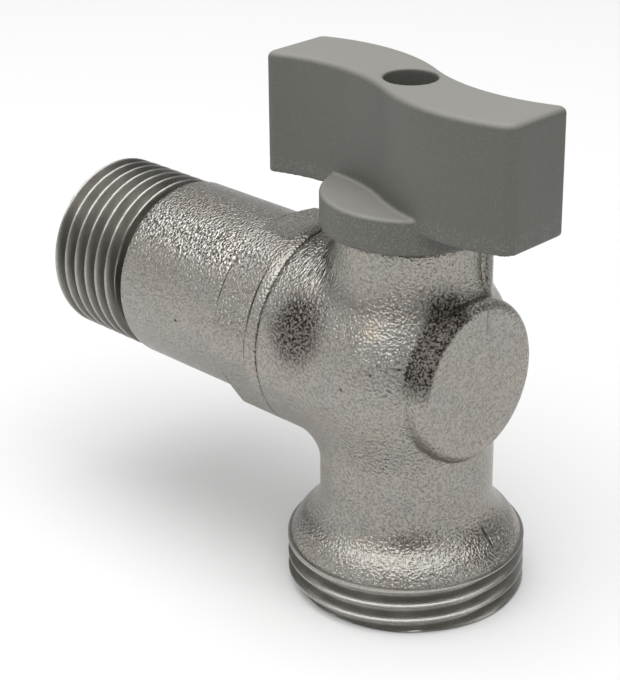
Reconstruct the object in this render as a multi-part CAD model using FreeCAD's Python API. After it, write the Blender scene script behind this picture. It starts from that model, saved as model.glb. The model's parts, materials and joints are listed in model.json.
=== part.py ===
import FreeCAD, Part
import math
import os

from FreeCAD import Vector

# Washing machine valve: a quarter-turn angle ball valve with a half-inch pipe tail,
# a three-quarter-inch hose outlet and a wavy lever handle. Millimetres.
# The origin is the centre of the outlet mouth, +Z runs up the outlet and the stem,
# and the pipe tail points to -X.

# Pipe threads, shaped as ring grooves at the thread's pitch
thread_pitch = 1.814
thread_depth = 1.16
thread_crest = 0.3
thread_root = 0.3

# Outlet and column of the body
outlet_thread_radius = 13.22
outlet_thread_length = 6.3
outlet_thread_chamfer = 0.35
outlet_thread_runout = 0.78
outlet_mouth_radius = 9.6
outlet_mouth_depth = 4.5
outlet_bore_radius = 6.6
outlet_bore_end = 16.0
shoulder_height = 3.1
shoulder_round = 1.8
neck_radius = 9.55
neck_fillet = 1.6
boss_radius = 7.9
boss_rise = 15.0
boss_edge = 0.5

# Barrel of the body, along the pipe's axis
inlet_height = 27.0
barrel_radius = 11.8
barrel_front = 8.55
barrel_front_round = 7.0
barrel_back = 11.6
barrel_back_edge = 0.5
barrel_blend = 2.2
pad_radius = 9.0
pad_front = 10.15
pad_edge = 1.2

# Pipe tail
tail_reach = 48.6
tail_thread_radius = 10.48
tail_thread_length = 12.5
tail_thread_chamfer = 0.7
tail_relief_width = 1.0
tail_tube_radius = 10.65
tail_bore_radius = 7.0
tail_throat_length = 2.2
tail_throat_taper = 2.0
hexagon_across_flats = 22.0
hexagon_length = 5.7
hexagon_chamfer = 0.9
flange_length = 1.7
flange_edge = 0.3
spigot_radius = 8.7

# Ball and seats
ball_radius = 6.6
ball_port_radius = 4.0
seat_inset = 4.3
seat_back = 6.6
seat_bore_radius = 4.2
drive_slot_width = 2.8
drive_slot_depth = 1.5

# Stem
stem_radius = 4.0
stem_shoulder_radius = 5.0
stem_shoulder_height = 1.5
stem_square = 5.6
stem_square_height = 8.0
stem_square_chamfer = 0.4
thrust_washer_thickness = 0.75
groove_depth = 1.1
groove_width = 1.4
groove_pitch = 2.0
groove_from_boss_top = 1.5

# Seal rings
stem_ring_section = 0.54
tail_ring_section = 0.65
tail_ring_pocket_depth = 1.6
tail_ring_pocket_radius = 10.2

# Handle
handle_length = 35.0
handle_width = 8.8
handle_wave = 2.3
handle_wave_half = 18.5
handle_height = 13.6
handle_corner = 0.9
handle_edge = 0.8
hub_radius = 9.45
hub_height = 3.9
hub_edge = 0.4
hub_under_bar = 2.4
handle_web = 1.2
screw_well_radius = 2.86

# Quarter-turn stop between boss and hub
stop_inner_radius = 5.4
stop_outer_radius = 7.4
stop_angle = 38.0
stop_width = 24.0
stop_height = 1.5
stop_lug_radius = 8.95
quarter_turn = 90.0

# Handle screw and its spring washer
screw_radius = 1.5
screw_length = 8.0
screw_head_radius = 2.6
screw_head_height = 1.8
screw_head_edge = 0.5
screw_cross_width = 0.8
screw_cross_length = 3.4
screw_cross_depth = 1.0
spring_washer_radius = 2.7
spring_washer_thickness = 0.5
spring_washer_gap = 0.5

# Clearances
running_clearance = 0.05
seal_clearance = 0.04
cavity_clearance = 0.3
thread_clearance = 0.1
hub_clearance = 0.3
slot_clearance = 0.1
stop_clearance = 0.3
screw_clearance = 0.15

# Heights and places that follow from the sizes above
boss_top = inlet_height + boss_rise
cavity_radius = ball_radius + cavity_clearance
stem_bore_radius = stem_radius + running_clearance
ball_top = inlet_height + ball_radius
slot_floor = ball_top - drive_slot_depth
shoulder_base = inlet_height + cavity_radius + slot_clearance
shoulder_top = shoulder_base + stem_shoulder_height
washer_base = shoulder_top + running_clearance
pocket_top = washer_base + thrust_washer_thickness + running_clearance
pocket_radius = stem_shoulder_radius + slot_clearance
hub_base = boss_top + hub_clearance
bar_base = hub_base + hub_under_bar
handle_top = bar_base + handle_height
stem_top = boss_top + stem_square_height
socket_top = stem_top + slot_clearance
well_floor = socket_top + handle_web
ring_height_upper = boss_top - groove_from_boss_top
ring_height_lower = ring_height_upper - groove_pitch
screw_seat = well_floor + spring_washer_thickness
screw_end = screw_seat - screw_length

ORIGIN = Vector(0, 0, 0)
UP = Vector(0, 0, 1)
ACROSS = Vector(0, 1, 0)
BALL_CENTRE = Vector(0, 0, inlet_height)
SAME_PLACE = 1e-4


def rounded_wire(corners):
    """A closed wire in the XZ plane through (x, z, round) corners, rounded by tangent arcs."""
    count = len(corners)
    edges = []
    ends = []
    for index, (x, z, round_radius) in enumerate(corners):
        here = Vector(x, 0, z)
        back = Vector(corners[index - 1][0], 0, corners[index - 1][1]) - here
        ahead = Vector(corners[(index + 1) % count][0], 0, corners[(index + 1) % count][1]) - here
        if round_radius == 0:
            ends.append((here, here))
            continue
        half_angle = back.getAngle(ahead) / 2
        back.normalize()
        ahead.normalize()
        cut = round_radius / math.tan(half_angle)
        middle_way = (back + ahead).normalize()
        centre = here + middle_way * (round_radius / math.sin(half_angle))
        start = here + back * cut
        end = here + ahead * cut
        edges.append(Part.Arc(start, centre - middle_way * round_radius, end).toShape())
        ends.append((start, end))
    for index in range(count):
        start = ends[index - 1][1]
        end = ends[index][0]
        if start.distanceToPoint(end) > SAME_PLACE:
            edges.append(Part.LineSegment(start, end).toShape())
    return Part.Wire(Part.__sortEdges__(edges))


def turned_upright(corners):
    """A solid turned about the Z axis from (radius, height, round) corners."""
    return Part.Face(rounded_wire(corners)).revolve(ORIGIN, UP, 360)


def turned_along_pipe(corners):
    """A solid turned about the pipe's axis from (radius, x, round) corners."""
    solid = turned_upright(corners)
    solid.rotate(ORIGIN, ACROSS, 90)
    solid.translate(BALL_CENTRE)
    return solid


def upright_rod(radius, base, top):
    return Part.makeCylinder(radius, top - base, Vector(0, 0, base), UP)


def pipe_rod(radius, start, end):
    return Part.makeCylinder(radius, end - start, Vector(start, 0, inlet_height), Vector(1, 0, 0))


def centred_block(size_x, size_y, base, top):
    return Part.makeBox(size_x, size_y, top - base, Vector(-size_x / 2, -size_y / 2, base))


def ring_sector(inner, outer, base, top, start_angle, sweep):
    """Part of a flat ring about the Z axis, from start_angle on through sweep degrees."""
    profile = rounded_wire([(inner, base, 0), (outer, base, 0), (outer, top, 0), (inner, top, 0)])
    sector = Part.Face(profile).revolve(ORIGIN, UP, sweep)
    sector.rotate(ORIGIN, UP, start_angle)
    return sector


def thread_rings(crest_radius, thread_end, room):
    """Corners of as many thread grooves as the room holds, up to the crest that ends the thread."""
    flank = (thread_pitch - thread_crest - thread_root) / 2
    root_radius = crest_radius - thread_depth
    grooves = int(room / thread_pitch)
    corners = []
    for index in range(grooves):
        start = thread_end - (grooves - index) * thread_pitch
        corners += [
            (crest_radius, start, 0),
            (root_radius, start + flank, 0),
            (root_radius, start + flank + thread_root, 0),
            (crest_radius, start + thread_pitch - thread_crest, 0),
        ]
    return corners


def seal_ring(ring_radius, section_radius):
    return Part.makeTorus(ring_radius, section_radius)


def meets_column(edge):
    """True for the curves where the barrel, and not its pad, runs into the neck or the boss."""
    if not isinstance(edge.Curve, Part.BSplineCurve):
        return False
    first, last = edge.ParameterRange
    middle = edge.valueAt((first + last) / 2)
    from_stem_axis = math.hypot(middle.x, middle.y)
    from_pipe_axis = math.hypot(middle.y, middle.z - inlet_height)
    on_column = min(abs(from_stem_axis - neck_radius), abs(from_stem_axis - boss_radius)) < SAME_PLACE
    return on_column and abs(from_pipe_axis - pad_radius) > SAME_PLACE


def top_edges(solid, height):
    """The edges of a solid that lie level at the given height."""
    found = []
    for edge in solid.Edges:
        box = edge.BoundBox
        if abs(box.ZMin - height) + box.ZLength < SAME_PLACE:
            found.append(edge)
    return found


def is_bar_corner(edge):
    """True for the four upright edges at the bar's ends."""
    return edge.BoundBox.ZLength > handle_height / 2 and abs(edge.CenterOfMass.x) > handle_length / 4


def valve_body():
    """The forging: barrel and column blended together, with its bores and the stop rib."""
    barrel = turned_along_pipe([
        (0, -barrel_back, 0),
        (barrel_radius, -barrel_back, barrel_back_edge),
        (barrel_radius, barrel_front, barrel_front_round),
        (0, barrel_front, 0),
    ])
    shoulder_top_height = outlet_thread_length + shoulder_height
    outlet_thread_end = outlet_thread_length - outlet_thread_runout
    column = turned_upright([
        (0, 0, 0),
        (outlet_thread_radius - outlet_thread_chamfer, 0, 0),
        *thread_rings(outlet_thread_radius, outlet_thread_end, outlet_thread_end),
        (outlet_thread_radius, outlet_thread_length, shoulder_round),
        (neck_radius, shoulder_top_height, neck_fillet),
        (neck_radius, inlet_height, 0),
        (boss_radius, inlet_height, 0),
        (boss_radius, boss_top, boss_edge),
        (0, boss_top, 0),
    ])
    pad = turned_along_pipe([
        (0, 0, 0),
        (pad_radius, 0, 0),
        (pad_radius, pad_front, pad_edge),
        (0, pad_front, 0),
    ])
    stop_lug = ring_sector(
        stop_inner_radius, stop_lug_radius, inlet_height, boss_top,
        stop_angle - stop_width / 2, stop_width,
    )
    body = barrel.fuse(pad).fuse(column)
    body = body.makeFillet(barrel_blend, [edge for edge in body.Edges if meets_column(edge)])
    body = body.fuse(stop_lug)

    outlet = turned_upright([
        (0, 0, 0),
        (outlet_mouth_radius, 0, 0),
        (outlet_mouth_radius, outlet_mouth_depth, 0),
        (outlet_bore_radius, outlet_mouth_depth + outlet_mouth_radius - outlet_bore_radius, 0),
        (outlet_bore_radius, outlet_bore_end, 0),
        (seat_bore_radius, outlet_bore_end + outlet_bore_radius - seat_bore_radius, 0),
        (seat_bore_radius, inlet_height, 0),
        (0, inlet_height, 0),
    ])
    hollows = [
        outlet,
        pipe_rod(cavity_radius, -barrel_back, seat_back),
        pipe_rod(spigot_radius + thread_clearance, -barrel_back, cavity_clearance - seat_back),
        pipe_rod(tail_ring_pocket_radius, -barrel_back, tail_ring_pocket_depth - barrel_back),
        upright_rod(pocket_radius, inlet_height, pocket_top),
        upright_rod(stem_bore_radius, inlet_height, boss_top),
    ]
    for hollow in hollows:
        body = body.cut(hollow)
    stop_rib = ring_sector(
        stop_inner_radius, stop_outer_radius, boss_top, boss_top + stop_height,
        stop_angle - stop_width / 2, stop_width,
    )
    return body.fuse(stop_rib).removeSplitter()


def inlet_tailpiece():
    """The turned pipe tail: thread, tube, hexagon, flange and the spigot in the body."""
    tail_end = -tail_reach
    thread_end = tail_end + tail_thread_length
    relief_end = thread_end + tail_relief_width
    relief_radius = tail_thread_radius - thread_depth
    hexagon_end = -barrel_back - flange_length
    hexagon_start = hexagon_end - hexagon_length
    throat_start = -seat_back - tail_throat_length
    blank = turned_along_pipe([
        (tail_bore_radius, tail_end, 0),
        (tail_thread_radius - tail_thread_chamfer, tail_end, 0),
        (tail_thread_radius, tail_end + tail_thread_chamfer, 0),
        *thread_rings(tail_thread_radius, thread_end, tail_thread_length - tail_thread_chamfer),
        (tail_thread_radius, thread_end, 0),
        (relief_radius, thread_end, 0),
        (relief_radius, relief_end, 0),
        (tail_tube_radius, relief_end, 0),
        (tail_tube_radius, hexagon_start, 0),
        (barrel_radius - hexagon_chamfer, hexagon_start, 0),
        (barrel_radius, hexagon_start + hexagon_chamfer, 0),
        (barrel_radius, -barrel_back, flange_edge),
        (spigot_radius, -barrel_back, 0),
        (spigot_radius, -seat_back, 0),
        (seat_bore_radius, -seat_back, 0),
        (seat_bore_radius, throat_start, 0),
        (tail_bore_radius, throat_start - tail_throat_taper, 0),
    ])
    corner_radius = hexagon_across_flats / 2 / math.cos(math.radians(30))
    corners = []
    for index in range(7):
        angle = math.radians(60 * index)
        sideways = corner_radius * math.cos(angle)
        upwards = inlet_height + corner_radius * math.sin(angle)
        corners.append(Vector(hexagon_start, sideways, upwards))
    hexagon = Part.Face(Part.makePolygon(corners)).extrude(Vector(hexagon_length, 0, 0))
    waste = pipe_rod(2 * barrel_radius, hexagon_start, hexagon_end).cut(hexagon)
    return blank.cut(waste)


def tailpiece_o_ring():
    middle_radius = (spigot_radius + tail_ring_pocket_radius) / 2
    ring = seal_ring(middle_radius, tail_ring_section)
    ring.rotate(ORIGIN, ACROSS, 90)
    ring.translate(Vector(tail_ring_pocket_depth / 2 - barrel_back, 0, inlet_height))
    return ring


def ball():
    """The ball, with a bore that turns from the side port down to the outlet."""
    sphere = Part.makeSphere(ball_radius, BALL_CENTRE)
    elbow = Part.makeSphere(ball_port_radius, BALL_CENTRE)
    side_port = pipe_rod(ball_port_radius, -2 * ball_radius, 0)
    bottom_port = upright_rod(ball_port_radius, inlet_height - 2 * ball_radius, inlet_height)
    slot = centred_block(drive_slot_width, 4 * ball_radius, slot_floor, ball_top + ball_radius)
    return sphere.cut(elbow.fuse([side_port, bottom_port])).cut(slot)


def seat(side):
    """A seal ring on the given side of the ball, hollowed to the ball's curve."""
    outer_radius = cavity_radius - running_clearance
    ring = turned_along_pipe([
        (seat_bore_radius, side * seat_inset, 0),
        (outer_radius, side * seat_inset, 0),
        (outer_radius, side * seat_back, 0),
        (seat_bore_radius, side * seat_back, 0),
    ])
    return ring.cut(Part.makeSphere(ball_radius + running_clearance, BALL_CENTRE))


def stem():
    """The stem: tongue, shoulder, two ring grooves and the square for the handle."""
    groove_radius = stem_radius - groove_depth
    outline = [
        (0, shoulder_base, 0),
        (stem_shoulder_radius, shoulder_base, 0),
        (stem_shoulder_radius, shoulder_top, 0),
        (stem_radius, shoulder_top, 0),
    ]
    for ring_height in (ring_height_lower, ring_height_upper):
        outline += [
            (stem_radius, ring_height - groove_width / 2, 0),
            (groove_radius, ring_height - groove_width / 2, 0),
            (groove_radius, ring_height + groove_width / 2, 0),
            (stem_radius, ring_height + groove_width / 2, 0),
        ]
    outline += [(stem_radius, boss_top, 0), (0, boss_top, 0)]
    tongue = centred_block(
        drive_slot_width - 2 * slot_clearance, 2 * stem_radius, slot_floor + slot_clearance, shoulder_base
    )
    square = centred_block(stem_square, stem_square, boss_top, stem_top)
    square = square.makeChamfer(stem_square_chamfer, top_edges(square, stem_top))
    screw_hole = upright_rod(screw_radius + running_clearance, screw_end - screw_clearance, stem_top)
    return turned_upright(outline).fuse([tongue, square]).cut(screw_hole)


def stem_thrust_washer():
    top = washer_base + thrust_washer_thickness
    ring = upright_rod(stem_shoulder_radius, washer_base, top)
    return ring.cut(upright_rod(stem_radius + slot_clearance, washer_base, top))


def stem_o_ring(ring_height):
    ring = seal_ring(stem_bore_radius - seal_clearance - stem_ring_section, stem_ring_section)
    ring.translate(Vector(0, 0, ring_height))
    return ring


def wave_edges(offset):
    """The two tangent arcs of the bar's wavy side, from -X to +X, moved sideways by offset."""
    half_length = handle_length / 2
    bend_radius = (handle_wave_half ** 2 / 4 + handle_wave ** 2) / (2 * handle_wave)
    end_drop = bend_radius - math.sqrt(bend_radius ** 2 - (half_length - handle_wave_half / 2) ** 2)
    end_wave = handle_wave - end_drop
    edges = []
    for side in (-1, 1):
        middle = Vector(0, offset, 0)
        crest = Vector(side * handle_wave_half / 2, offset - side * handle_wave, 0)
        end = Vector(side * half_length, offset - side * end_wave, 0)
        edges.append(Part.Arc(middle, crest, end).toShape())
    return edges


def handle():
    """The moulded handle: a wavy bar on a round hub, socketed for the stem's square."""
    front = wave_edges(-handle_width / 2)
    back = wave_edges(handle_width / 2)
    ends = []
    for front_arc, back_arc in zip(front, back):
        ends.append(Part.LineSegment(front_arc.lastVertex().Point, back_arc.lastVertex().Point).toShape())
    outline = Part.Wire(Part.__sortEdges__(front + back + ends))
    bar = Part.Face(outline).extrude(Vector(0, 0, handle_height))
    bar.translate(Vector(0, 0, bar_base))
    bar = bar.makeFillet(handle_corner, [edge for edge in bar.Edges if is_bar_corner(edge)])
    bar = bar.makeFillet(handle_edge, top_edges(bar, handle_top))
    hub = turned_upright([
        (0, hub_base, 0),
        (hub_radius, hub_base, hub_edge),
        (hub_radius, hub_base + hub_height, hub_edge),
        (0, hub_base + hub_height, 0),
    ])
    play = math.degrees(stop_clearance / stop_inner_radius)
    hollows = [
        centred_block(
            stem_square + 2 * running_clearance, stem_square + 2 * running_clearance, hub_base, socket_top
        ),
        upright_rod(screw_radius + screw_clearance, socket_top, well_floor),
        upright_rod(screw_well_radius, well_floor, handle_top),
        ring_sector(
            stop_inner_radius - stop_clearance, stop_outer_radius + stop_clearance,
            hub_base, boss_top + stop_height + stop_clearance,
            stop_angle - stop_width / 2 - play, stop_width + quarter_turn + 2 * play,
        ),
    ]
    lever = bar.fuse(hub)
    for hollow in hollows:
        lever = lever.cut(hollow)
    return lever.removeSplitter()


def handle_screw():
    """A pan-head screw with a cross recess, down in the handle's well."""
    head_top = screw_seat + screw_head_height
    screw = turned_upright([
        (0, screw_end, 0),
        (screw_radius, screw_end, 0),
        (screw_radius, screw_seat, 0),
        (screw_head_radius, screw_seat, 0),
        (screw_head_radius, head_top, screw_head_edge),
        (0, head_top, 0),
    ])
    recess_floor = head_top - screw_cross_depth
    screw = screw.cut(centred_block(screw_cross_width, screw_cross_length, recess_floor, head_top))
    return screw.cut(centred_block(screw_cross_length, screw_cross_width, recess_floor, head_top))


def handle_screw_washer():
    """A split spring washer under the screw's head."""
    gap = math.degrees(spring_washer_gap / spring_washer_radius)
    return ring_sector(
        screw_radius + screw_clearance, spring_washer_radius, well_floor, screw_seat, gap / 2, 360 - gap
    )


os.makedirs("parts", exist_ok=True)
pieces = {
    "valve_body": valve_body(),
    "inlet_tailpiece": inlet_tailpiece(),
    "tailpiece_o_ring": tailpiece_o_ring(),
    "ball": ball(),
    "inlet_seat": seat(-1),
    "front_seat": seat(1),
    "stem": stem(),
    "stem_thrust_washer": stem_thrust_washer(),
    "stem_o_ring_lower": stem_o_ring(ring_height_lower),
    "stem_o_ring_upper": stem_o_ring(ring_height_upper),
    "handle": handle(),
    "handle_screw": handle_screw(),
    "handle_screw_washer": handle_screw_washer(),
}
for name, shape in pieces.items():
    shape.exportStep(f"parts/{name}.step")
    print(name, "valid" if shape.isValid() else "INVALID", len(shape.Solids), round(shape.Volume, 2))
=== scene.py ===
import json
import math

import bmesh
import bpy
import numpy as np
from mathutils import Matrix, Vector


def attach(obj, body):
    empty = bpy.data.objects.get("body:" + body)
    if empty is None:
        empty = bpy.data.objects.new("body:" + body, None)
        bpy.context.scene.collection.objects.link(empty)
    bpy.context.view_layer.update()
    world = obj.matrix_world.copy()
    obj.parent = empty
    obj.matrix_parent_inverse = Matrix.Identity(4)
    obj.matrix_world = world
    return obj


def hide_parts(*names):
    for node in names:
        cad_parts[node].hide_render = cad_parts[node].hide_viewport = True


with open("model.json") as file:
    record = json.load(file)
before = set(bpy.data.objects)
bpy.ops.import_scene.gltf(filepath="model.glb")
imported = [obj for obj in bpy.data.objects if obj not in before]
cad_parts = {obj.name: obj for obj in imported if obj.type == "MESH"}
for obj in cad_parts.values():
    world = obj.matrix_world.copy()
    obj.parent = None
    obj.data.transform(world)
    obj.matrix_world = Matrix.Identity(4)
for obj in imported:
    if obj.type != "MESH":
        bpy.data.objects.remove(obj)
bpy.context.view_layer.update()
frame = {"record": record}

MM = 0.001
mounts = {mount["name"]: mount for mount in frame["record"]["mounts"]}

# Sizes of the valve in millimetres and its angles in radians, as the solids have them
pipe_height = 27.0
outlet_crest = mounts["outlet_thread"]["dims"]["r_mm"]
tail_crest = mounts["inlet_thread"]["dims"]["r_mm"]
mouth_radius = mounts["outlet_mouth"]["dims"]["r_mm"]
mouth_depth = mounts["outlet_mouth"]["dims"]["length_mm"]
tail_bore = mounts["inlet_bore"]["dims"]["r_mm"]
thread_pitch = 1.814
thread_depth = 1.16
outlet_bore = 6.6
outlet_bore_end = 16.0
bore_clearance = 0.06
thread_top = 5.2
thread_top_edge = 0.1
neck_overlap = 1.0
throat_bore = 4.2
shoulder_foot = 6.3
shoulder_rise = 3.1
shoulder_round = 1.8
neck_radius = 9.55
neck_fillet = 1.6
boss_radius = 7.9
boss_top = 42.0
boss_edge = 0.5
barrel_radius = 11.8
barrel_front = 8.55
dome_round = 7.0
barrel_back = 11.6
barrel_back_edge = 0.4
barrel_blend = 2.2
pad_radius = 9.0
pad_front = 10.15
pad_edge = 1.2
pad_fillet = 0.35
tail_end = -48.6
tail_thread_end = -36.1
tail_relief_end = -35.1
tail_tube = 10.65
hexagon_start = -19.0
hexagon_end = -13.3
hexagon_apothem = 11.0
hexagon_chamfer = 0.9
spigot_radius = 8.7
spigot_clearance = 0.1
spigot_end_gap = 0.3
seat_back = 6.6
seam_side = 1.0
cavity_radius = 6.9
handle_base = 42.3
bar_base = 44.7
bar_base_edge = 0.3
bar_corner = 0.95
handle_top = 58.3
handle_top_edge = 0.75
bar_half_length = 17.5
bar_half_width = 4.4
bar_wave = 2.3
bar_wave_quarter = 9.25
hub_radius = 9.45
hub_top = 46.2
hub_edge = 0.4
hub_fillet = 0.3
well_radius = 2.86
well_floor = 51.3
well_edge = 0.15
stop_angle = math.radians(38.0)
stop_half_width = math.radians(12.0)
stop_inner_radius = 5.4
stop_outer_radius = 7.4
stop_height = 1.5
stop_lug_radius = 8.95
stop_lug_edge = 0.4
stop_lug_fillet = 0.3
stop_groove_inner = 5.1
stop_groove_outer = 7.7
stop_groove_top = 43.8
stop_groove_turn = math.radians(45)
stop_groove_half = math.radians(48.2)
ring_pocket_radius = 10.2
ring_pocket_depth = 1.6
stem_shoulder_top = 36.35
stem_shoulder_hole = 5.1
stem_hole_radius = 4.05
screw_hole_radius = 1.65
screw_hole_overlap = 1.0
socket_half = 2.85
socket_top = 50.1


# Working with nodes

class Wire:
    """A node's output that can be used in plain sums."""

    def __init__(self, bench, socket):
        self.bench = bench
        self.socket = socket

    def maths(self, operation, first, second):
        return self.bench.node("ShaderNodeMath", {"operation": operation}, {0: first, 1: second})

    def __add__(self, other):
        return self.maths("ADD", self, other)

    def __radd__(self, other):
        return self.maths("ADD", other, self)

    def __sub__(self, other):
        return self.maths("SUBTRACT", self, other)

    def __rsub__(self, other):
        return self.maths("SUBTRACT", other, self)

    def __mul__(self, other):
        return self.maths("MULTIPLY", self, other)

    def __rmul__(self, other):
        return self.maths("MULTIPLY", other, self)

    def __truediv__(self, other):
        return self.maths("DIVIDE", self, other)

    def __abs__(self):
        return self.bench.node("ShaderNodeMath", {"operation": "ABSOLUTE"}, {0: self})

    def above(self, limit, softness):
        """0 below the limit and 1 above it, with a soft step of the given width."""
        return self.bench.node(
            "ShaderNodeMapRange", {"interpolation_type": "SMOOTHSTEP"},
            {"Value": self, "From Min": limit - softness / 2, "From Max": limit + softness / 2},
        )


class Bench:
    """One node tree and the means to add nodes to it."""

    def __init__(self, tree):
        self.tree = tree
        tree.nodes.clear()

    def node(self, kind, settings=None, inputs=None, output=0):
        made = self.tree.nodes.new(kind)
        for name, value in (settings or {}).items():
            setattr(made, name, value)
        for name, value in (inputs or {}).items():
            if isinstance(value, Wire):
                self.tree.links.new(value.socket, made.inputs[name])
            else:
                made.inputs[name].default_value = value
        if made.outputs:
            return Wire(self, made.outputs[output])
        return made


# Finishes

class Finish(Bench):
    """A material on the piece's own coordinates."""

    def __init__(self, name):
        self.material = bpy.data.materials.new(name)
        self.material.use_nodes = True
        super().__init__(self.material.node_tree)
        self.place = self.node("ShaderNodeTexCoord", output="Object")

    def speckle(self, size_mm, detail=2.0, roughness=0.5, stretch=(1.0, 1.0, 1.0)):
        """Noise with grains of a size, longer along an axis whose stretch is over 1."""
        place = self.vector("DIVIDE", self.place, stretch)
        inputs = {"Vector": place, "Scale": 1.0 / (size_mm * MM), "Detail": detail, "Roughness": roughness}
        return self.node("ShaderNodeTexNoise", {"noise_dimensions": "3D"}, inputs)

    def dimples(self, size_mm):
        inputs = {"Vector": self.place, "Scale": 1.0 / (size_mm * MM)}
        return self.node("ShaderNodeTexVoronoi", {"feature": "F1"}, inputs)

    def vector(self, operation, first, second):
        return self.node("ShaderNodeVectorMath", {"operation": operation}, {0: first, 1: second})

    def length(self, wire):
        return self.node("ShaderNodeVectorMath", {"operation": "LENGTH"}, {0: wire}, output="Value")

    def along(self, axis):
        return self.node("ShaderNodeSeparateXYZ", inputs={0: self.place}, output=axis)

    def near(self, spot_mm, reach_mm, softness=0.9):
        """1 around a spot, falling to 0 at its reach along each axis."""
        away = self.vector("SUBTRACT", self.place, [value * MM for value in spot_mm])
        share = self.length(self.vector("DIVIDE", away, [value * MM for value in reach_mm]))
        return 1.0 - share.above(1.0 - softness / 2, softness)

    def from_axis(self, spot_mm, across):
        """The distance in metres from an axis through a spot."""
        away = self.vector("SUBTRACT", self.place, [value * MM for value in spot_mm])
        return self.length(self.vector("MULTIPLY", away, across))

    def tint(self, share, first, second):
        inputs = {0: share, 6: (*first, 1.0), 7: (*second, 1.0)}
        return self.node("ShaderNodeMix", {"data_type": "RGBA"}, inputs, output=2)

    def blend(self, share, first, second):
        return self.node("ShaderNodeMix", {"data_type": "RGBA"}, {0: share, 6: first, 7: second}, output=2)

    def done(self, height, depth_mm, strength, **shader):
        bump = self.node(
            "ShaderNodeBump", inputs={"Strength": strength, "Distance": depth_mm * MM, "Height": height}
        )
        inputs = {"Normal": bump}
        inputs.update({name.replace("_", " "): value for name, value in shader.items()})
        surface = self.node("ShaderNodeBsdfPrincipled", inputs=inputs)
        self.node("ShaderNodeOutputMaterial", inputs={"Surface": surface})
        return self.material


def parting_line(finish):
    """1 on the forging's seam: fine on the front pad, broader on the shoulder."""
    wander = (finish.speckle(1.5) - 0.5) * (0.5 * MM)
    off_plane = abs(finish.along(1) - seam_side * MM + wander)
    fine = 1.0 - off_plane.above(0.08 * MM, 0.12 * MM)
    broad = 1.0 - off_plane.above(0.22 * MM, 0.16 * MM)
    height = finish.along(2)
    on_pad = height.above(32.4 * MM, 1.6 * MM) * (1.0 - height.above(36.0 * MM, 1.0 * MM))
    on_shoulder = height.above(7.4 * MM, 0.8 * MM) * (1.0 - height.above(9.6 * MM, 0.8 * MM))
    return (fine * on_pad * 0.6 + broad * on_shoulder) * finish.along(0).above(5.0 * MM, 1.0 * MM)


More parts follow.
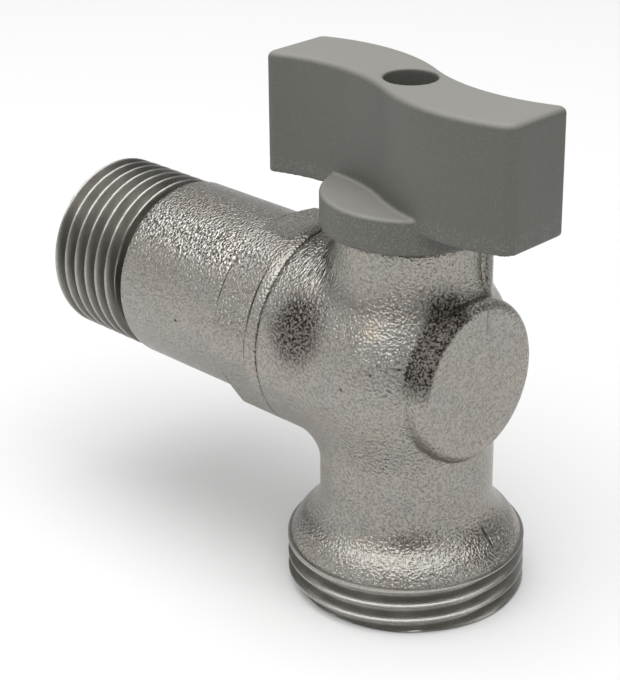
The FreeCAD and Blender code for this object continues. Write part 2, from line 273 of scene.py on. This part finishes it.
def blasted_nickel():
    """Nickel plating on a shot-blasted forging, with pits, bare brass showing through and the parting seam,
    and with painted shade and painted reflections: dark patches, dark lines at steps and fillets, and
    painted sparkle where highlights fall.
    """
    finish = Finish("blasted_nickel")
    grain = finish.speckle(0.27, 1.0, 0.6)
    dents = finish.dimples(0.34)
    streaks = finish.speckle(0.24, 1.0, 0.5, (1.0, 5.0, 5.0))
    cloud = finish.speckle(6.0, 3.0)
    patch = finish.speckle(2.2, 2.0)
    colour = finish.tint(cloud.above(0.5, 0.3), (0.372, 0.346, 0.309), (0.352, 0.345, 0.321))
    dark = finish.tint(patch, (0.180, 0.165, 0.144), (0.220, 0.205, 0.182))
    colour = finish.blend(grain.above(0.47, 0.2) * 0.62 + 0.38, dark, colour)
    # Painted dark reflection: a dark speckled patch on the barrel's front side.
    barrel_dark_reflection = finish.near((-6.2, -10.7, 31.9), (5.0, 5.2, 6.4), 0.7)
    # Painted shade in the corner where the boss, the dome and the pad meet.
    corner = finish.near((7.7, -3.1, 36.3), (4.8, 3.8, 2.7))
    # Painted dark reflection along the pad's side wall; the same zone is also made rougher.
    from_pipe = finish.from_axis((0.0, 0.0, pipe_height), (0.0, 1.0, 1.0))
    pad_side_dark_reflection = finish.along(0).above(7.1 * MM, 0.6 * MM) * from_pipe.above((pad_radius - 0.95) * MM, 0.5 * MM)
    pad_side_dark_reflection = pad_side_dark_reflection * finish.along(2).above(28.4 * MM, 3.0 * MM)
    pad_side_dark_reflection = pad_side_dark_reflection * (1.0 - finish.along(2).above(36.8 * MM, 1.2 * MM))
    pad_side_dark_reflection = pad_side_dark_reflection * (1.0 - finish.along(1).above(-1.8 * MM, 1.6 * MM))
    # Painted shade in the fillet between the shoulder and the neck.
    neck_fillet_shade = finish.near((7.6, -7.4, 9.6), (3.6, 3.6, 1.5))
    # Near-black speckled tone for the painted shade and painted dark reflections below.
    painted_dark_tone = finish.tint(grain.above(0.5, 0.25), (0.02, 0.017, 0.014), (0.22, 0.20, 0.18))
    colour = finish.blend(barrel_dark_reflection, colour, painted_dark_tone)
    colour = finish.blend(corner * 0.95, colour, painted_dark_tone)
    colour = finish.blend(neck_fillet_shade * 0.6, colour, painted_dark_tone)
    colour = finish.blend(pad_side_dark_reflection * 0.95, colour, painted_dark_tone)
    tan = finish.near((3.2, -9.2, 34.0), (1.8, 1.8, 1.8))
    tan = tan + finish.near((2.0, -9.7, 9.0), (3.0, 1.6, 1.0))
    bare_metal = finish.tint(grain, (0.42, 0.34, 0.25), (0.50, 0.42, 0.32))
    colour = finish.blend(tan * 0.35, colour, bare_metal)
    pits = sum(finish.near(spot, reach) for spot, reach in (
        ((6.7, -8.86, 30.54), (0.42, 0.42, 0.3)),
        ((4.47, -10.8, 29.81), (0.26, 0.3, 0.26)),
        ((1.3, -11.79, 27.49), (0.22, 0.3, 0.36)),
        ((-25.6, -10.63, 26.6), (0.38, 0.5, 0.32)),
    ))
    seam = parting_line(finish)
    # Painted shade lines along the hexagon's left edge and along the flange's edge, at their steps.
    wander = (patch - 0.5) * (0.1 * MM)
    off_hexagon = abs(finish.along(0) - (hexagon_start + 0.16) * MM + wander)
    step_shade_lines = (1.0 - off_hexagon.above(0.14 * MM, 0.12 * MM)) * 0.75
    step_shade_lines = step_shade_lines + finish.near((hexagon_end + 0.1, -10.2, 32.9), (0.3, 5.2, 5.6), 0.6) * 0.9
    # Sparkle zones where highlights fall, under the hub and along the tail's top: painted dark streaks and
    # speckles there stand for dark reflections; the hub zone also carries the real streaky bump.
    combed_and_sparkle_zone = finish.near((-6.5, -5.4, 37.4), (6.0, 7.0, 4.5))
    tail_sparkle_zone = finish.near((-25.0, -6.6, 35.2), (20.0, 4.6, 3.8), 0.7)
    painted_dark_share = streaks.above(0.58, 0.10) * combed_and_sparkle_zone * 0.75 + grain.above(0.56, 0.1) * tail_sparkle_zone * 0.7
    # Painted shade line along the fillet at the foot of the boss.
    from_stem = finish.from_axis((0.0, 0.0, 0.0), (1.0, 1.0, 0.0))
    off_boss_fillet = abs(from_stem - (boss_radius + 0.9) * MM)
    boss_fillet_shade = (1.0 - off_boss_fillet.above(0.45 * MM, 0.7 * MM)) * finish.along(2).above(35.0 * MM, 1.6 * MM)
    # Painted highlight flecks in the sparkle zones.
    painted_sparkle = (1.0 - grain.above(0.47, 0.12)) * (tail_sparkle_zone + combed_and_sparkle_zone) * 0.78
    bright = finish.tint(patch, (0.70, 0.68, 0.64), (0.80, 0.78, 0.74))
    colour = finish.blend(painted_sparkle, colour, bright)
    # Near-black for the real pits and parting seam, and for the painted shade lines and painted dark
    # speckles.
    black = finish.tint(grain, (0.02, 0.018, 0.015), (0.04, 0.036, 0.03))
    colour = finish.blend(pits + seam * 0.75 + step_shade_lines + painted_dark_share + boss_fillet_shade * 0.25, colour, black)
    height = grain * 0.6 + dents * 0.45 + streaks * combed_and_sparkle_zone * 1.5 - pits * 0.4 - seam * 0.6
    return finish.done(
        height, 0.17, 1.0, Base_Color=colour, Metallic=1.0,
        Roughness=0.23 + 0.14 * cloud + 0.35 * pad_side_dark_reflection,
    )


def threaded_nickel(name, spot_mm, across, crest_mm, shaded_below_mm):
    """Nickel plating on a cut thread: crests lighter, partly polished wear and partly painted highlight;
    roots darker as painted shade, with more painted shade low down.
    """
    finish = Finish(name)
    grain = finish.speckle(0.22, 2.0, 0.6)
    cloud = finish.speckle(3.0, 3.0)
    reach = finish.from_axis(spot_mm, across)
    # Crests painted lighter, partly polished wear and partly painted highlight; roots painted darker as
    # painted shade in the grooves.
    crest = reach.above((crest_mm - 0.13) * MM, 0.24 * MM)
    root = finish.tint(cloud.above(0.5, 0.4), (0.29, 0.28, 0.255), (0.36, 0.35, 0.325))
    # Painted shade: the roots darker towards the bottom, below the given height.
    painted_dark_share = (1.0 - finish.along(2).above(shaded_below_mm * MM, 7.0 * MM)) * 0.75
    root = finish.blend(painted_dark_share, root, finish.tint(cloud, (0.14, 0.136, 0.12), (0.19, 0.185, 0.166)))
    colour = finish.blend(crest, root, finish.tint(grain, (0.41, 0.40, 0.375), (0.51, 0.50, 0.47)))
    dark = finish.tint(cloud, (0.20, 0.195, 0.18), (0.26, 0.255, 0.235))
    colour = finish.blend(grain.above(0.5, 0.3) * 0.4 + 0.6, dark, colour)
    return finish.done(grain, 0.04, 0.7, Base_Color=colour, Metallic=1.0, Roughness=0.26 + 0.14 * cloud)


def grey_moulding():
    """Warm grey plastic with a fine spark-eroded grain, painted lighter where it faces up and darker on the
    sides, as painted light and shade.
    """
    finish = Finish("grey_moulding")
    grain = finish.speckle(0.25, 2.0, 0.6)
    fleck = finish.speckle(0.22, 2.0)
    cloud = finish.speckle(9.0, 3.0)
    facing = finish.node("ShaderNodeAttribute", {"attribute_name": "facing_up"}, output="Fac")
    # Painted shade on the sides and painted light on the upward faces, blended by the vertex normal's
    # height.
    side = finish.tint(cloud, (0.087, 0.086, 0.075), (0.101, 0.100, 0.088))
    painted_lit_top = finish.tint(cloud, (0.214, 0.210, 0.190), (0.236, 0.232, 0.211))
    base = finish.blend(facing.above(0.55, 0.9), side, painted_lit_top)
    on_hub = 1.0 - finish.along(2).above((hub_top + 0.5) * MM, 0.6 * MM)
    light = finish.tint(grain, (0.28, 0.277, 0.255), (0.34, 0.337, 0.315))
    colour = finish.blend(fleck.above(0.58, 0.2) * (0.08 + 0.14 * on_hub), base, light)
    return finish.done(grain, 0.03, 0.4, Base_Color=colour, Roughness=0.48 + 0.12 * fleck)


def plain_finish(name, dark, light, roughness, metallic=0.0, size_mm=0.8):
    """A finish for the pieces inside: two shades and a fine grain."""
    finish = Finish(name)
    grain = finish.speckle(size_mm, 3.0)
    return finish.done(
        grain, 0.02, 0.15,
        Base_Color=finish.tint(grain, dark, light), Metallic=metallic, Roughness=roughness + 0.1 * grain,
    )


# Solid forms as fields: distances in millimetres, negative inside

def trimmed(first, second, edge):
    """What lies in both forms, with the edge between them rounded."""
    inner = np.minimum(-edge, np.maximum(first, second))
    return inner + np.hypot(np.maximum(first + edge, 0), np.maximum(second + edge, 0))


def merged(first, second, fillet):
    """What lies in either form, with the corner between them filled."""
    outer = np.maximum(fillet, np.minimum(first, second))
    return outer - np.hypot(np.maximum(fillet - first, 0), np.maximum(fillet - second, 0))


def hollowed(form, hollow, edge=0.05):
    return trimmed(form, -hollow, edge)


def forging(x, y, z):
    """The valve's body above its outlet thread."""
    from_stem = np.hypot(x, y)
    from_pipe = np.hypot(y, z - pipe_height)
    dome = trimmed(from_pipe - barrel_radius, x - barrel_front, dome_round)
    barrel = trimmed(dome, -barrel_back - x, barrel_back_edge)
    pad = np.maximum(trimmed(from_pipe - pad_radius, x - pad_front, pad_edge), -x)
    run = outlet_crest - neck_radius
    slope = (from_stem - outlet_crest) * shoulder_rise + (z - shoulder_foot) * run
    slope = slope / math.hypot(run, shoulder_rise)
    shoulder = trimmed(from_stem - outlet_crest, slope, shoulder_round)
    shoulder = trimmed(shoulder, thread_top - z, thread_top_edge)
    neck = np.maximum(from_stem - neck_radius, z - pipe_height)
    neck = np.maximum(neck, thread_top + neck_overlap - z)
    boss = np.maximum(trimmed(from_stem - boss_radius, z - boss_top, boss_edge), pipe_height - z)
    side = (np.abs(np.arctan2(y, x) - stop_angle) - stop_half_width) * from_stem
    lug = trimmed(from_stem - stop_lug_radius, side, stop_lug_edge)
    lug = trimmed(lug, z - boss_top, stop_lug_edge)
    lug = np.maximum(np.maximum(lug, pipe_height - z), stop_inner_radius - from_stem)
    rib = np.maximum(from_stem - stop_outer_radius, stop_inner_radius - from_stem)
    rib = np.maximum(np.maximum(rib, side), np.abs(z - boss_top) - stop_height)
    body = merged(barrel, merged(shoulder, neck, neck_fillet), barrel_blend)
    body = merged(body, boss, barrel_blend)
    body = merged(merged(body, pad, pad_fillet), lug, stop_lug_fillet)
    body = np.minimum(body, rib)

    cone = mouth_radius + mouth_depth - np.maximum(z, mouth_depth)
    outlet = from_stem - bore_clearance - np.maximum(outlet_bore, cone)
    outlet = np.maximum(outlet, z - outlet_bore_end)
    taper = np.clip(outlet_bore + outlet_bore_end - z, throat_bore, outlet_bore)
    throat = np.maximum(from_stem - taper, z - pipe_height)
    cavity = np.maximum(from_pipe - cavity_radius, x - seat_back)
    spigot_hole = from_pipe - spigot_radius - spigot_clearance
    spigot_hole = np.maximum(spigot_hole, x + seat_back - spigot_end_gap)
    ring_pocket = np.maximum(from_pipe - ring_pocket_radius, x + barrel_back - ring_pocket_depth)
    stem_hole = np.where(z < stem_shoulder_top, stem_shoulder_hole, stem_hole_radius)
    stem_hole = np.maximum(from_stem - stem_hole, pipe_height - z)
    for hollow in (outlet, throat, cavity, spigot_hole, ring_pocket, stem_hole):
        body = hollowed(body, hollow)
    return body


def lever(x, y, z):
    """The handle: its S-shaped bar on the round hub, with the screw's well and the socket."""
    from_stem = np.hypot(x, y)
    bend = (bar_wave_quarter ** 2 + bar_wave ** 2) / (2 * bar_wave)
    along = np.clip(np.abs(x), 0, bar_half_length + 1) - bar_wave_quarter
    sagitta = np.sqrt(bend ** 2 - along ** 2)
    middle = np.sign(x) * (bend - bar_wave - sagitta)
    side = (np.abs(y - middle) - bar_half_width) * sagitta / bend
    bar = trimmed(side, np.abs(x) - bar_half_length, bar_corner)
    bar = trimmed(trimmed(bar, z - handle_top, handle_top_edge), bar_base - z, bar_base_edge)
    hub = trimmed(trimmed(from_stem - hub_radius, z - hub_top, hub_edge), handle_base - z, hub_edge)
    form = merged(bar, hub, hub_fillet)

    well = np.maximum(from_stem - well_radius, well_floor - z)
    screw_hole = np.maximum(socket_top - screw_hole_overlap - z, z - well_floor - screw_hole_overlap)
    screw_hole = np.maximum(from_stem - screw_hole_radius, screw_hole)
    socket = np.maximum(np.maximum(np.abs(x), np.abs(y)) - socket_half, z - socket_top)
    turn = np.arctan2(y, x)
    groove = np.maximum(stop_groove_inner - from_stem, from_stem - stop_groove_outer)
    groove = np.maximum(groove, z - stop_groove_top)
    from_middle = np.abs(turn - stop_angle - stop_groove_turn)
    groove = np.maximum(groove, (from_middle - stop_half_width - stop_groove_half) * from_stem)
    form = hollowed(form, well, well_edge)
    for hollow in (screw_hole, socket, groove):
        form = hollowed(form, hollow)
    return form


def skin_of(field, low, high, cell):
    """Points in metres and four-sided faces of the surface where a field is zero."""
    axes = [np.arange(start, end + cell, cell) for start, end in zip(low, high)]
    values = field(*np.meshgrid(*axes, indexing="ij", sparse=True))
    inside = values < 0
    size = np.array(inside.shape)
    corners = np.zeros(size - 1, dtype=int)
    for step in np.ndindex(2, 2, 2):
        corners += inside[tuple(slice(s, n - 1 + s) for s, n in zip(step, size))]
    mixed = (corners > 0) & (corners < 8)
    number = np.full(mixed.shape, -1)
    number[mixed] = np.arange(mixed.sum())
    cells = np.argwhere(mixed)

    total = np.zeros(cells.shape)
    hits = np.zeros(len(cells))
    unit = np.eye(3, dtype=int)
    for axis in range(3):
        for first, second in np.ndindex(2, 2):
            start = cells + first * unit[axis - 1] + second * unit[axis - 2]
            before = values[tuple(start.T)]
            after = values[tuple((start + unit[axis]).T)]
            crossed = (before < 0) != (after < 0)
            share = before[crossed] / (before[crossed] - after[crossed])
            total[crossed] += start[crossed] + share[:, None] * unit[axis]
            hits[crossed] += 1
    points = np.array(low) + cell * total / hits[:, None]

    probe = 0.02
    settling_rounds = 4
    longest_move = 0.3 * cell
    least_steepness = 0.2
    for _ in range(settling_rounds):
        slope = np.stack([
            field(*(points + probe * step).T) - field(*(points - probe * step).T) for step in unit
        ], axis=1) / (2 * probe)
        steepness = np.maximum((slope ** 2).sum(axis=1), least_steepness)
        move = field(*points.T)[:, None] * slope / steepness[:, None]
        points -= np.clip(move, -longest_move, longest_move)

    faces = []
    for axis in range(3):
        along, across = unit[axis - 2], unit[axis - 1]
        lower = np.take(inside, range(size[axis] - 1), axis=axis)
        upper = np.take(inside, range(1, size[axis]), axis=axis)
        edges = np.argwhere(lower != upper)
        ring = [edges, edges - along, edges - along - across, edges - across]
        quads = np.stack([number[tuple(corner.T)] for corner in ring], axis=1)
        inward = upper[tuple(edges.T)]
        quads[inward] = quads[inward, ::-1]
        faces.append(quads)
    return points * MM, np.concatenate(faces)


# Turned forms and threads

def turned_skin(rings, segments, limit=None):
    """Points in metres and faces of a surface through (radius, height) rings about the Z axis."""
    angles = np.arange(segments) * 2 * math.pi / segments
    points = []
    for radius, height in rings:
        around = np.full(segments, radius)
        if limit is not None:
            around = np.minimum(around, limit(angles, height))
        ring = [around * np.cos(angles), around * np.sin(angles), np.full(segments, height)]
        points.append(np.stack(ring, axis=1))
    faces = []
    column = np.arange(segments)
    after = (column + 1) % segments
    for row in range(len(rings) - 1):
        lower = row * segments
        upper = lower + segments
        faces.append(np.stack([lower + column, lower + after, upper + after, upper + column], axis=1))
    return np.concatenate(points) * MM, np.concatenate(faces)


def thread_tree():
    """A tree that wraps a grid into a right-hand thread about the Z axis."""
    tree = bpy.data.node_groups.new("thread", "GeometryNodeTree")
    sockets = {}
    for name, kind in (
        ("Segments", "Int"), ("Rows", "Int"), ("Start", "Float"), ("End", "Float"),
        ("Root Radius", "Float"), ("Depth", "Float"), ("Pitch", "Float"),
        ("Lead In", "Float"), ("Run Out", "Float"),
        ("End Ridge", "Float"), ("Offset", "Float"), ("Finish", "Material"),
    ):
        made = tree.interface.new_socket(name, in_out="INPUT", socket_type="NodeSocket" + kind)
        sockets[name] = made.identifier
    tree.interface.new_socket("Skin", in_out="OUTPUT", socket_type="NodeSocketGeometry")
    bench = Bench(tree)
    given = bench.tree.nodes.new("NodeGroupInput")
    size = {name: Wire(bench, given.outputs[name]) for name in sockets}
    grid = bench.node("GeometryNodeMeshGrid", inputs={
        "Size X": 1.0, "Size Y": 1.0, "Vertices X": size["Segments"] + 1, "Vertices Y": size["Rows"],
    })
    place = bench.node("GeometryNodeInputPosition")
    turn = bench.node("ShaderNodeSeparateXYZ", inputs={0: place}, output=0) + 0.5
    height = bench.node("ShaderNodeSeparateXYZ", inputs={0: place}, output=1) + 0.5
    height = size["Start"] + height * (size["End"] - size["Start"])
    phase = height / size["Pitch"] - turn + size["Offset"]
    phase = bench.node("ShaderNodeMath", {"operation": "FRACT"}, {0: phase})
    flank = 1.0 - abs(phase * 2.0 - 1.0)
    root_share = 0.15
    flank = bench.node("ShaderNodeMapRange", {"interpolation_type": "SMOOTHSTEP"}, {
        "Value": flank, "From Min": root_share, "From Max": 1.0,
    })
    lead_in = bench.node("ShaderNodeMapRange", inputs={
        "Value": height - size["Start"], "From Max": size["Lead In"],
    })
    run_out = bench.node("ShaderNodeMapRange", inputs={
        "Value": size["End"] - height, "From Max": size["Run Out"],
    })
    ridge = bench.node("ShaderNodeMath", {"operation": "MINIMUM"}, {0: flank, 1: lead_in})
    ridge = run_out * ridge + (1.0 - run_out) * size["End Ridge"]
    radius = size["Root Radius"] + size["Depth"] * ridge
    angle = turn * (2 * math.pi)
    wrapped = bench.node("ShaderNodeCombineXYZ", inputs={
        0: radius * bench.node("ShaderNodeMath", {"operation": "COSINE"}, {0: angle}),
        1: radius * bench.node("ShaderNodeMath", {"operation": "SINE"}, {0: angle}),
        2: height,
    })
    skin = bench.node("GeometryNodeSetPosition", inputs={"Geometry": grid, "Position": wrapped})
    skin = bench.node("GeometryNodeMergeByDistance", inputs={"Geometry": skin, "Distance": 1e-6})
    skin = bench.node("GeometryNodeRealizeInstances", inputs={"Geometry": skin})
    skin = bench.node("GeometryNodeSetMaterial", inputs={"Geometry": skin, "Material": size["Finish"]})
    bench.node("NodeGroupOutput", inputs={"Skin": skin})
    return tree, sockets


def thread_skin(tree, sockets, **sizes):
    """The thread's plain mesh at the given sizes in millimetres."""
    carrier = bpy.data.objects.new("thread_carrier", bpy.data.meshes.new("thread_carrier"))
    bpy.context.scene.collection.objects.link(carrier)
    modifier = carrier.modifiers.new("thread", "NODES")
    modifier.node_group = tree
    for name, value in sizes.items():
        label = name.replace("_", " ")
        plain = label in ("Segments", "Rows", "End Ridge", "Offset", "Finish")
        modifier[sockets[label]] = value if plain else value * MM
    evaluated = carrier.evaluated_get(bpy.context.evaluated_depsgraph_get())
    mesh = bpy.data.meshes.new_from_object(evaluated)
    carrier.modifiers.remove(modifier)
    bpy.data.objects.remove(carrier)
    return mesh


# Making pieces

def mesh_of(points, faces):
    mesh = bpy.data.meshes.new("skin")
    mesh.from_pydata(points.tolist(), [], faces.tolist())
    return mesh


def piece_from(name, meshes, finishes, body, nodes, along_pipe=False, smooth_angle=None):
    """One closed piece from skins that share their rims, riding on a body in place of CAD nodes."""
    joined = bmesh.new()
    for index, mesh in enumerate(meshes):
        first = len(joined.faces)
        joined.from_mesh(mesh)
        joined.faces.ensure_lookup_table()
        for face in joined.faces[first:]:
            face.material_index = min(index, len(finishes) - 1)
            face.smooth = True
    weld_distance = 2e-6
    bmesh.ops.remove_doubles(joined, verts=joined.verts, dist=weld_distance)
    if along_pipe:
        for vertex in joined.verts:
            height, across, up = vertex.co.z, vertex.co.x, vertex.co.y
            vertex.co = (height, across, up + pipe_height * MM)
    mesh = bpy.data.meshes.new(name)
    joined.to_mesh(mesh)
    joined.free()
    for finish in finishes:
        mesh.materials.append(finish)
    if smooth_angle is not None:
        mesh.set_sharp_from_angle(angle=smooth_angle)
    piece = bpy.data.objects.new(name, mesh)
    bpy.context.scene.collection.objects.link(piece)
    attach(piece, body)
    if nodes:
        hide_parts(*nodes)
    return piece


nickel = blasted_nickel()
# Heights below which the thread roots get painted shade; the outlet thread lies wholly above its height, so
# it gets none.
no_low_shade = -10.0
tail_low_shade = 31.0
outlet_nickel = threaded_nickel(
    "outlet_thread_nickel", (0.0, 0.0, 0.0), (1.0, 1.0, 0.0), outlet_crest, no_low_shade,
)
tail_nickel = threaded_nickel(
    "tail_thread_nickel", (0.0, 0.0, pipe_height), (0.0, 1.0, 1.0), tail_crest, tail_low_shade,
)
plastic = grey_moulding()
tree, sockets = thread_tree()

forging_cell = 0.3
forging_skin = mesh_of(*skin_of(forging, (-13.6, -13.6, 4.7), (13.6, 13.6, 44.0), forging_cell))
piece_from("body_forging", [forging_skin], [nickel], "valve", ["valve_body"])

# Outlet thread with its mouth
outlet_segments = 288
outlet_root = outlet_crest - thread_depth
outlet_thread_start = 0.1
outlet_thread_end = 5.6
outlet_end_ridge = 0.97
outlet_rim_top = 8.4
outlet_thread = thread_skin(
    tree, sockets, Segments=outlet_segments, Rows=90, Start=outlet_thread_start, End=outlet_thread_end,
    Root_Radius=outlet_root, Depth=thread_depth, Pitch=thread_pitch, Lead_In=0.2,
    Run_Out=0.8, End_Ridge=outlet_end_ridge, Offset=0.41, Finish=outlet_nickel,
)
cone_end = mouth_depth + mouth_radius - outlet_bore
outlet_rim = turned_skin([
    (outlet_root + outlet_end_ridge * thread_depth, outlet_thread_end),
    (outlet_root, outlet_thread_end + 0.1), (outlet_bore + 1.2, outlet_rim_top),
    (outlet_bore, outlet_rim_top), (outlet_bore, cone_end),
    (mouth_radius, mouth_depth), (mouth_radius, 1.0), (mouth_radius, 0.2),
    (mouth_radius + 0.06, 0.06), (mouth_radius + 0.2, 0.0), (outlet_root - 0.35, 0.0),
    (outlet_root - 0.15, 0.01), (outlet_root - 0.04, 0.04), (outlet_root, outlet_thread_start),
], outlet_segments)
piece_from(
    "outlet_thread", [outlet_thread, mesh_of(*outlet_rim)], [outlet_nickel, outlet_nickel],
    "valve", [], smooth_angle=math.radians(50),
)

# Pipe tail
tail_segments = 240
tail_root = tail_crest - thread_depth
tail_rim = 0.12
tail_thread = thread_skin(
    tree, sockets, Segments=tail_segments, Rows=180,
    Start=tail_end + tail_rim, End=tail_thread_end,
    Root_Radius=tail_root, Depth=thread_depth, Pitch=thread_pitch, Lead_In=0.8,
    Run_Out=0.3, End_Ridge=0.0, Offset=0.0, Finish=tail_nickel,
)


def hexagon_limit(angles, height):
    """How far the spanner hexagon lets the tail reach at a height on its axis."""
    if not hexagon_start < height < hexagon_end:
        return np.full(angles.shape, barrel_radius)
    from_flat = np.mod(angles, math.pi / 3) - math.pi / 6
    return hexagon_apothem / np.cos(from_flat)


tail_rings = [
    (tail_root, tail_thread_end), (tail_root, tail_relief_end - 0.12),
    (tail_root + 0.1, tail_relief_end - 0.02),
    (tail_tube - 0.14, tail_relief_end), (tail_tube - 0.04, tail_relief_end + 0.04),
    (tail_tube, tail_relief_end + 0.14),
]
tail_rings += [(tail_tube, x) for x in np.linspace(tail_relief_end + 0.6, hexagon_start - 0.2, 24)]
tail_rings += [(tail_tube - 0.12, hexagon_start - 0.02), (tail_tube, hexagon_start + 0.01)]
chamfer_start = hexagon_start + 0.02
tail_rings += [
    (barrel_radius - hexagon_chamfer * (1 - share), chamfer_start + hexagon_chamfer * 0.9 * share)
    for share in np.linspace(0, 1, 10)
]
tail_rings += [(barrel_radius, x) for x in np.linspace(hexagon_start + 1.0, hexagon_end - 0.01, 12)]
tail_rings += [
    (barrel_radius - 0.06, hexagon_end + 0.01), (barrel_radius, hexagon_end + 0.07),
    (barrel_radius, -barrel_back - 0.35), (barrel_radius - 0.05, -barrel_back - 0.17),
    (barrel_radius - 0.16, -barrel_back - 0.06), (barrel_radius - 0.35, -barrel_back - 0.01),
    (spigot_radius, -barrel_back - 0.01), (spigot_radius, -seat_back), (throat_bore, -seat_back),
    (throat_bore, -8.8), (tail_bore, -10.8), (tail_bore, -30.0), (tail_bore, tail_end + 0.2),
    (tail_bore + 0.06, tail_end + 0.06), (tail_bore + 0.2, tail_end),
    (tail_root - 0.3, tail_end), (tail_root - 0.1, tail_end + 0.02), (tail_root, tail_end + tail_rim),
]
tail_skin = mesh_of(*turned_skin(tail_rings, tail_segments, hexagon_limit))
piece_from(
    "pipe_tail", [tail_thread, tail_skin], [tail_nickel, nickel],
    "valve", ["inlet_tailpiece"], along_pipe=True, smooth_angle=math.radians(35),
)

# Handle
lever_cell = 0.26
lever_skin = mesh_of(*skin_of(lever, (-18.2, -10.2, 41.8), (18.2, 10.2, 58.9), lever_cell))
handle_lever = piece_from(
    "handle_lever", [lever_skin], [plastic], "lever", ["handle"],
)
# The vertex normal's height, with which the plastic paints its upward faces lighter and its sides darker as
# painted light and shade.
facing_up = handle_lever.data.attributes.new("facing_up", "FLOAT", "POINT")
facing_up.data.foreach_set("value", [vertex.normal.z for vertex in handle_lever.data.vertices])

# Finishes for the solids that stay as they are
white_seal = plain_finish("white_seal", (0.74, 0.74, 0.71), (0.82, 0.82, 0.80), 0.42)
black_rubber = plain_finish("black_rubber", (0.012, 0.012, 0.012), (0.022, 0.022, 0.021), 0.55)
ball_plating = plain_finish("ball_plating", (0.62, 0.62, 0.63), (0.68, 0.68, 0.69), 0.07, 1.0, 3.0)
bare_brass = plain_finish("bare_brass", (0.62, 0.44, 0.17), (0.72, 0.53, 0.22), 0.26, 1.0)
zinc_steel = plain_finish("zinc_steel", (0.36, 0.36, 0.37), (0.46, 0.46, 0.47), 0.30, 1.0)
inner_finishes = {
    "tailpiece_o_ring": black_rubber, "stem_o_ring_lower": black_rubber, "stem_o_ring_upper": black_rubber,
    "inlet_seat": white_seal, "front_seat": white_seal, "stem_thrust_washer": white_seal,
    "ball": ball_plating, "stem": bare_brass, "handle_screw": zinc_steel, "handle_screw_washer": zinc_steel,
}
for node, finish in inner_finishes.items():
    for slot in bpy.data.objects[node].material_slots:
        slot.material = finish


# Floor, light and camera

def pale_floor():
    mesh = bpy.data.meshes.new("floor")
    half = 3.0
    corners = [(-half, -half, 0), (half, -half, 0), (half, half, 0), (-half, half, 0)]
    mesh.from_pydata(corners, [], [(0, 1, 2, 3)])
    finish = Finish("pale_floor")
    cloud = finish.speckle(400.0)
    pale = finish.tint(cloud, (0.79, 0.79, 0.79), (0.81, 0.81, 0.81))
    mesh.materials.append(finish.done(cloud, 0.01, 0.02, Base_Color=pale, Roughness=0.8))
    floor = bpy.data.objects.new("floor", mesh)
    bpy.context.scene.collection.objects.link(floor)


def soft_light(name, spot, target, width, length, glow):
    """A panel that shines evenly, as bright as the given glow, and is not seen by the camera."""
    data = bpy.data.lights.new(name, "AREA")
    data.shape = "RECTANGLE"
    data.size = width
    data.size_y = length
    data.energy = glow * math.pi * width * length
    light = bpy.data.objects.new(name, data)
    light.location = spot
    light.rotation_euler = (Vector(target) - Vector(spot)).to_track_quat("-Z", "Y").to_euler()
    light.visible_camera = False
    bpy.context.scene.collection.objects.link(light)


pale_floor()
valve_middle = (-0.015, 0.0, 0.028)
soft_light("overhead", (0.02, -0.10, 0.60), valve_middle, 1.1, 1.1, 2.3)
soft_light("back_panel", (-0.35, 0.75, 0.25), valve_middle, 1.2, 0.5, 0.55)
soft_light("left_panel", (-0.62, -0.50, 0.24), valve_middle, 0.9, 0.46, 0.75)
soft_light("front_panel", (0.12, -0.85, 0.20), valve_middle, 1.0, 0.46, 0.5)
soft_light("right_panel", (0.75, 0.15, 0.28), valve_middle, 0.4, 0.5, 1.4)

world = bpy.data.worlds.new("studio")
world.use_nodes = True
studio = Bench(world.node_tree)
glow = studio.node("ShaderNodeBackground", inputs={"Color": (1.0, 1.0, 1.0, 1.0), "Strength": 0.10})
studio.node("ShaderNodeOutputWorld", inputs={"Surface": glow})
bpy.context.scene.world = world

view_turn = 0.754605
view_rise = 0.395507
view_spot = (0.125187, -0.141134, 0.117037)
image_width, image_height = 620, 680
focal_pixels = 1933.5
axis_x, axis_y = 357.0, 258.0
right = Vector((math.cos(view_turn), math.sin(view_turn), 0))
back = Vector((
    math.sin(view_turn) * math.cos(view_rise),
    -math.cos(view_turn) * math.cos(view_rise),
    math.sin(view_rise),
))
up = back.cross(right)
camera_data = bpy.data.cameras.new("camera")
camera_data.sensor_width = 36.0
camera_data.lens = focal_pixels / image_height * camera_data.sensor_width
camera_data.shift_x = (image_width / 2 - axis_x) / image_height
camera_data.shift_y = (axis_y - image_height / 2) / image_height
camera_data.clip_start = 0.01
camera = bpy.data.objects.new("camera", camera_data)
camera.matrix_world = Matrix.Translation(view_spot) @ Matrix((right, up, back)).transposed().to_4x4()
bpy.context.scene.collection.objects.link(camera)
bpy.context.scene.camera = camera
bpy.context.scene.view_settings.view_transform = "Standard"
